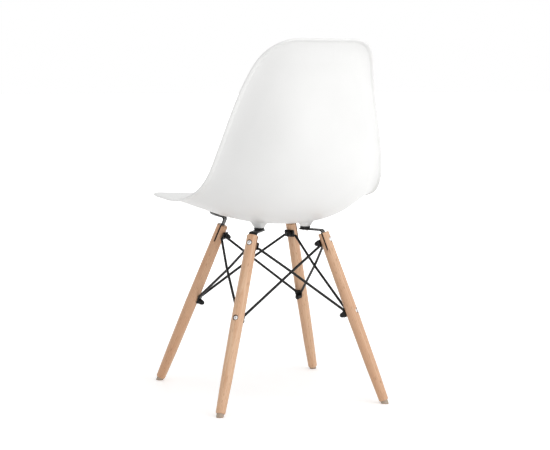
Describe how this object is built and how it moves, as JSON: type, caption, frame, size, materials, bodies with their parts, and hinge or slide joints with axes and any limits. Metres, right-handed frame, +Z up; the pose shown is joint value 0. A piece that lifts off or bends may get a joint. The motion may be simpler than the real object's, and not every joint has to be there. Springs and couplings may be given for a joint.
{
  "type": "shell chair",
  "caption": "Dining chair with a one-piece moulded white plastic shell seat on splayed tapered wooden dowel legs with crossed black rod bracing.",
  "frame": {"origin": "on the floor under the middle of the chair's overall box", "axes": "+Z up, the chair faces -Y, the sitter's left is +X"},
  "size_m": [0.4662, 0.5064, 0.8226],
  "materials": {
    "white_plastic": "satin",
    "beech": "clear satin lacquer",
    "black_steel": "satin black powder coat",
    "black_rubber": "matt",
    "zinc_steel": "bright zinc plate",
    "brass": "machined",
    "grey_plastic": "milky translucent"
  },
  "bodies": {
    "root": {"brace_front_left": "black_steel", "brace_front_right": "black_steel", "bracket_front_left": "black_steel", "bracket_front_right": "black_steel", "bracket_rear_left": "black_steel", "bracket_rear_right": "black_steel", "cap_nuts_lower": "black_steel", "cap_nuts_upper": "black_steel", "foot_glide_front_left": "grey_plastic", "foot_glide_front_right": "grey_plastic", "foot_glide_rear_left": "grey_plastic", "foot_glide_rear_right": "grey_plastic", "glide_nails": "zinc_steel", "leg_bolts_lower": "zinc_steel", "leg_bolts_upper": "zinc_steel", "leg_front_left": "beech", "leg_front_right": "beech", "leg_rear_left": "beech", "leg_rear_right": "beech", "rubber_spacer_front_left": "black_rubber", "rubber_spacer_front_right": "black_rubber", "rubber_spacer_rear_left": "black_rubber", "rubber_spacer_rear_right": "black_rubber", "seat_bolts": "zinc_steel", "seat_shell": "white_plastic", "seat_washers": "zinc_steel", "threaded_inserts": "brass"}
  },
  "joints": []
}
